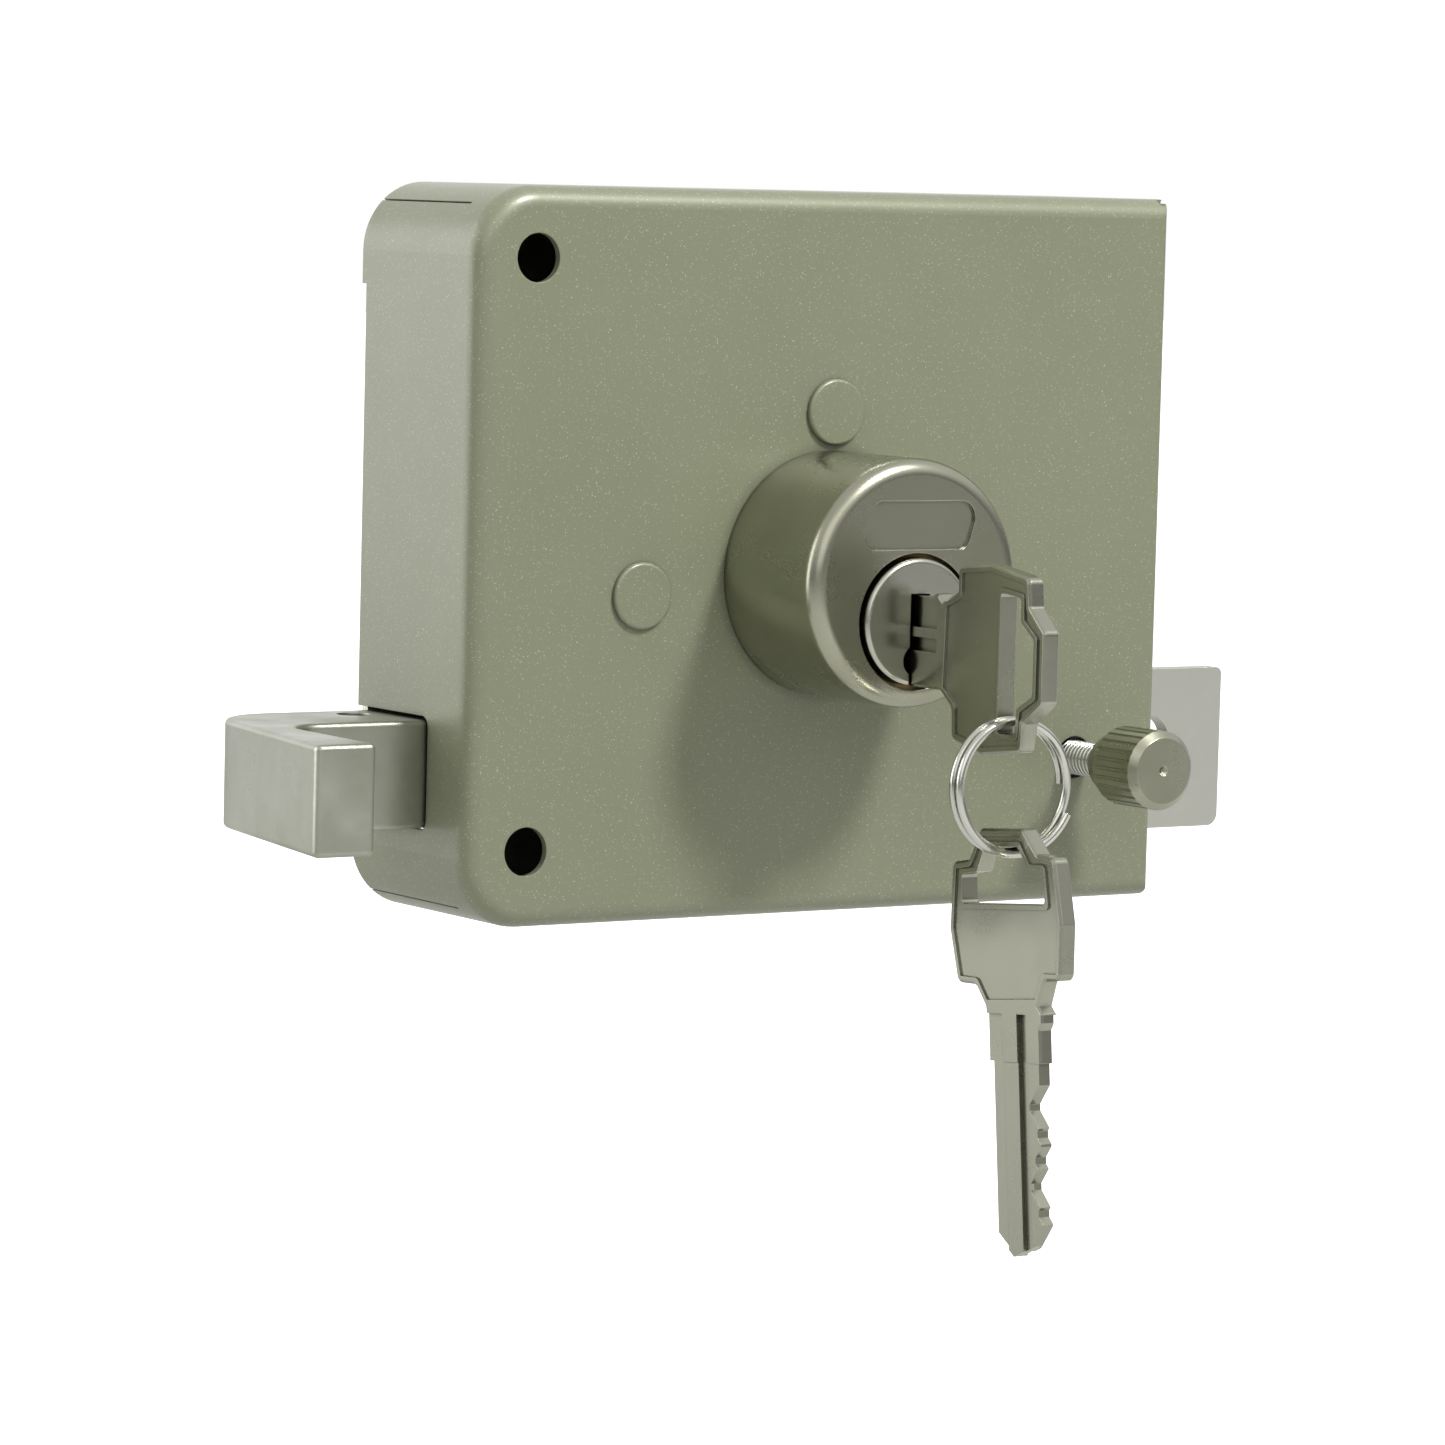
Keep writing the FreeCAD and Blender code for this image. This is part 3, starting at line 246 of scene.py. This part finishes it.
def plated(name, light, dark, rough, grain_scale=600.0, grain_depth=0.008, unevenness=0.0,
           unevenness_scale=130.0, stain_scale=90.0, edge=0.15, gap=1.6):
    """Bare or plated metal: a fine grain, stains in patches, painted shade in the gaps. Depths in
    mm.
    """
    n = Nodes(name)
    stains = n.noise(stain_scale, 3.0, 0.45)
    fine = n.noise(grain_scale, 3.0, 0.6)
    body = n.mix(n.ramp(stains, 0.0, 1.0, *STAIN_SPREAD), dark, light)
    # Painted shade: the metal's colour darkened in its gaps and corners.
    n.link(n.shade(n.painted_gap_shade(gap, PLATING_GAP_SHADE), body), n.shader.inputs["Base Color"])
    n.shader.inputs["Metallic"].default_value = 1.0
    glossiest, roughest = rough
    spread = n.math("ADD", n.math("MULTIPLY", stains, STAIN_SHARE),
                    n.math("MULTIPLY", fine, GRAIN_SHARE))
    n.link(n.ramp(spread, roughest, glossiest, *GLOSS_SPREAD), n.shader.inputs["Roughness"])
    normal = n.bump(fine, grain_depth, n.soft_normal(edge))
    if unevenness:
        normal = n.bump(n.noise(unevenness_scale, 2.0), unevenness, normal)
    n.link(normal, n.shader.inputs["Normal"])
    return n.material


def dress(names, material):
    for name in names:
        item = nodes[name]
        item.data.materials.clear()
        item.data.materials.append(material)


def finishes():
    dress(["case_cover", "guide_post", "lever_post"], paint())
    dress(["hook_bolt"],
          plated("cast_nickel", (0.53, 0.54, 0.47), (0.34, 0.35, 0.28), (0.26, 0.44),
                 grain_scale=1100.0, grain_depth=0.016, unevenness=0.14, edge=0.3))
    dress(["cylinder_shell"],
          plated("shell_nickel", (0.43, 0.43, 0.34), (0.33, 0.33, 0.25), (0.22, 0.32),
                 grain_scale=2600.0, grain_depth=0.0006, unevenness=0.08,
                 unevenness_scale=22.0, stain_scale=60.0, edge=0.2))
    dress(["cylinder_plug"],
          plated("plug_nickel", (0.55, 0.55, 0.48), (0.45, 0.45, 0.38), (0.18, 0.30),
                 grain_scale=2600.0, grain_depth=0.0012))
    dress(["key", "spare_key"],
          plated("key_nickel", (0.43, 0.43, 0.355), (0.34, 0.34, 0.275), (0.18, 0.30),
                 grain_scale=2600.0, grain_depth=0.0012, unevenness=0.04,
                 unevenness_scale=60.0, edge=0.12))
    dress(["key_ring"],
          plated("ring_steel", (0.68, 0.68, 0.62), (0.58, 0.58, 0.52), (0.14, 0.24)))
    dress(["snib_knob"],
          plated("knob_nickel", (0.44, 0.44, 0.35), (0.34, 0.34, 0.26), (0.22, 0.34),
                 grain_scale=2600.0, grain_depth=0.0012))
    dress(["snib_stud", "shell_screws", "back_plate_screws", "cam_screw", "post_washers",
           "bolt_rivets"],
          plated("fastener_zinc", (0.66, 0.66, 0.62), (0.52, 0.52, 0.48), (0.2, 0.34)))
    dress(["bolt_plate", "back_plate", "bolt_guide"],
          plated("zinc_sheet", (0.60, 0.60, 0.55), (0.54, 0.54, 0.49), (0.42, 0.55),
                 grain_scale=1500.0))
    dress(["anti_saw_pin", "cam", "return_lever", "lever_pin", "plug_clip", "snib_bush",
           "case_pillars"],
          plated("ground_steel", (0.40, 0.39, 0.38), (0.30, 0.29, 0.28), (0.28, 0.42)))
    dress(["pin_springs", "return_spring"],
          plated("spring_steel", (0.50, 0.50, 0.50), (0.40, 0.40, 0.40), (0.2, 0.3)))
    dress(["cylinder_body", "bottom_pins", "driver_pins", "chamber_strip", "cylinder_nut"],
          plated("brass", (0.60, 0.46, 0.22), (0.48, 0.35, 0.15), (0.26, 0.38)))


# ---------------------------------------------------------------- light and floor
def area_light(name, place, extent, power):
    """A softbox that faces the object's middle."""
    data = bpy.data.lights.new(name, "AREA")
    data.shape = "RECTANGLE"
    data.size, data.size_y = extent
    data.energy = power
    lamp = bpy.data.objects.new(name, data)
    facing = (-Vector(place)).to_track_quat("-Z", "Y").to_matrix().to_4x4()
    lamp.matrix_world = Matrix.Translation(place) @ facing
    bpy.context.scene.collection.objects.link(lamp)


def seen_directly(tree):
    """1 for what the lens sees itself, 0 for light that falls on or shines back from the object."""
    return tree.nodes.new("ShaderNodeLightPath").outputs["Is Camera Ray"]


def backdrop():
    """The room that lights the object: bright above and behind, dim below. Seen directly, white."""
    world = bpy.data.worlds.new("studio")
    bpy.context.scene.world = world
    world.use_nodes = True
    tree = world.node_tree
    background = tree.nodes["Background"]
    place = tree.nodes.new("ShaderNodeTexCoord")
    axes = tree.nodes.new("ShaderNodeSeparateXYZ")
    tree.links.new(place.outputs["Generated"], axes.inputs[0])

    def ramp(source, span, low, high):
        node = tree.nodes.new("ShaderNodeMapRange")
        node.interpolation_type = "SMOOTHSTEP"
        tree.links.new(source, node.inputs["Value"])
        for name, number in zip(("From Min", "From Max", "To Min", "To Max"), (*span, low, high)):
            node.inputs[name].default_value = number
        return node.outputs["Result"]

    def brighter(first, second):
        node = tree.nodes.new("ShaderNodeMath")
        node.operation = "MAXIMUM"
        tree.links.new(first, node.inputs[0])
        tree.links.new(second, node.inputs[1])
        return node.outputs[0]

    back = ramp(axes.outputs["Y"], BACK_RAMP, 0.0, ROOM_BACK)
    above = ramp(axes.outputs["Z"], ABOVE_RAMP, ROOM_BELOW, ROOM_ABOVE)
    strength = brighter(brighter(back, above), seen_directly(tree))
    tree.links.new(strength, background.inputs["Strength"])
    background.inputs["Color"].default_value = (1.0, 1.0, 1.0, 1.0)


def floor():
    """A sheet of pale paper under the object. Seen directly, near white."""
    low = cad_box[0][2] - FLOOR_GAP
    corners = [(-1, -1), (1, -1), (1, 1), (-1, 1)]
    mesh = bpy.data.meshes.new("floor")
    mesh.from_pydata([(x * FLOOR_REACH, y * FLOOR_REACH, low) for x, y in corners],
                     [], [(0, 1, 2, 3)])
    item = bpy.data.objects.new("floor", mesh)
    bpy.context.scene.collection.objects.link(item)
    pale = Nodes("pale_floor")
    direct = seen_directly(pale.tree)
    paper = pale.mix(pale.noise(FLOOR_SCALE, 2.0), FLOOR_DEEP, FLOOR_PALE)
    pale.link(pale.mix(direct, paper, FLOOR_SEEN), pale.shader.inputs["Base Color"])
    pale.shader.inputs["Roughness"].default_value = FLOOR_ROUGHNESS
    pale.shader.inputs["Emission Color"].default_value = (1.0, 1.0, 1.0, 1.0)
    pale.link(pale.math("MULTIPLY", direct, FLOOR_GLOW), pale.shader.inputs["Emission Strength"])
    mesh.materials.append(pale.material)


def studio():
    backdrop()
    floor()
    for lamp in LAMPS:
        area_light(*lamp)
    bpy.context.scene.view_settings.view_transform = "Standard"


make_camera()
finishes()
studio()
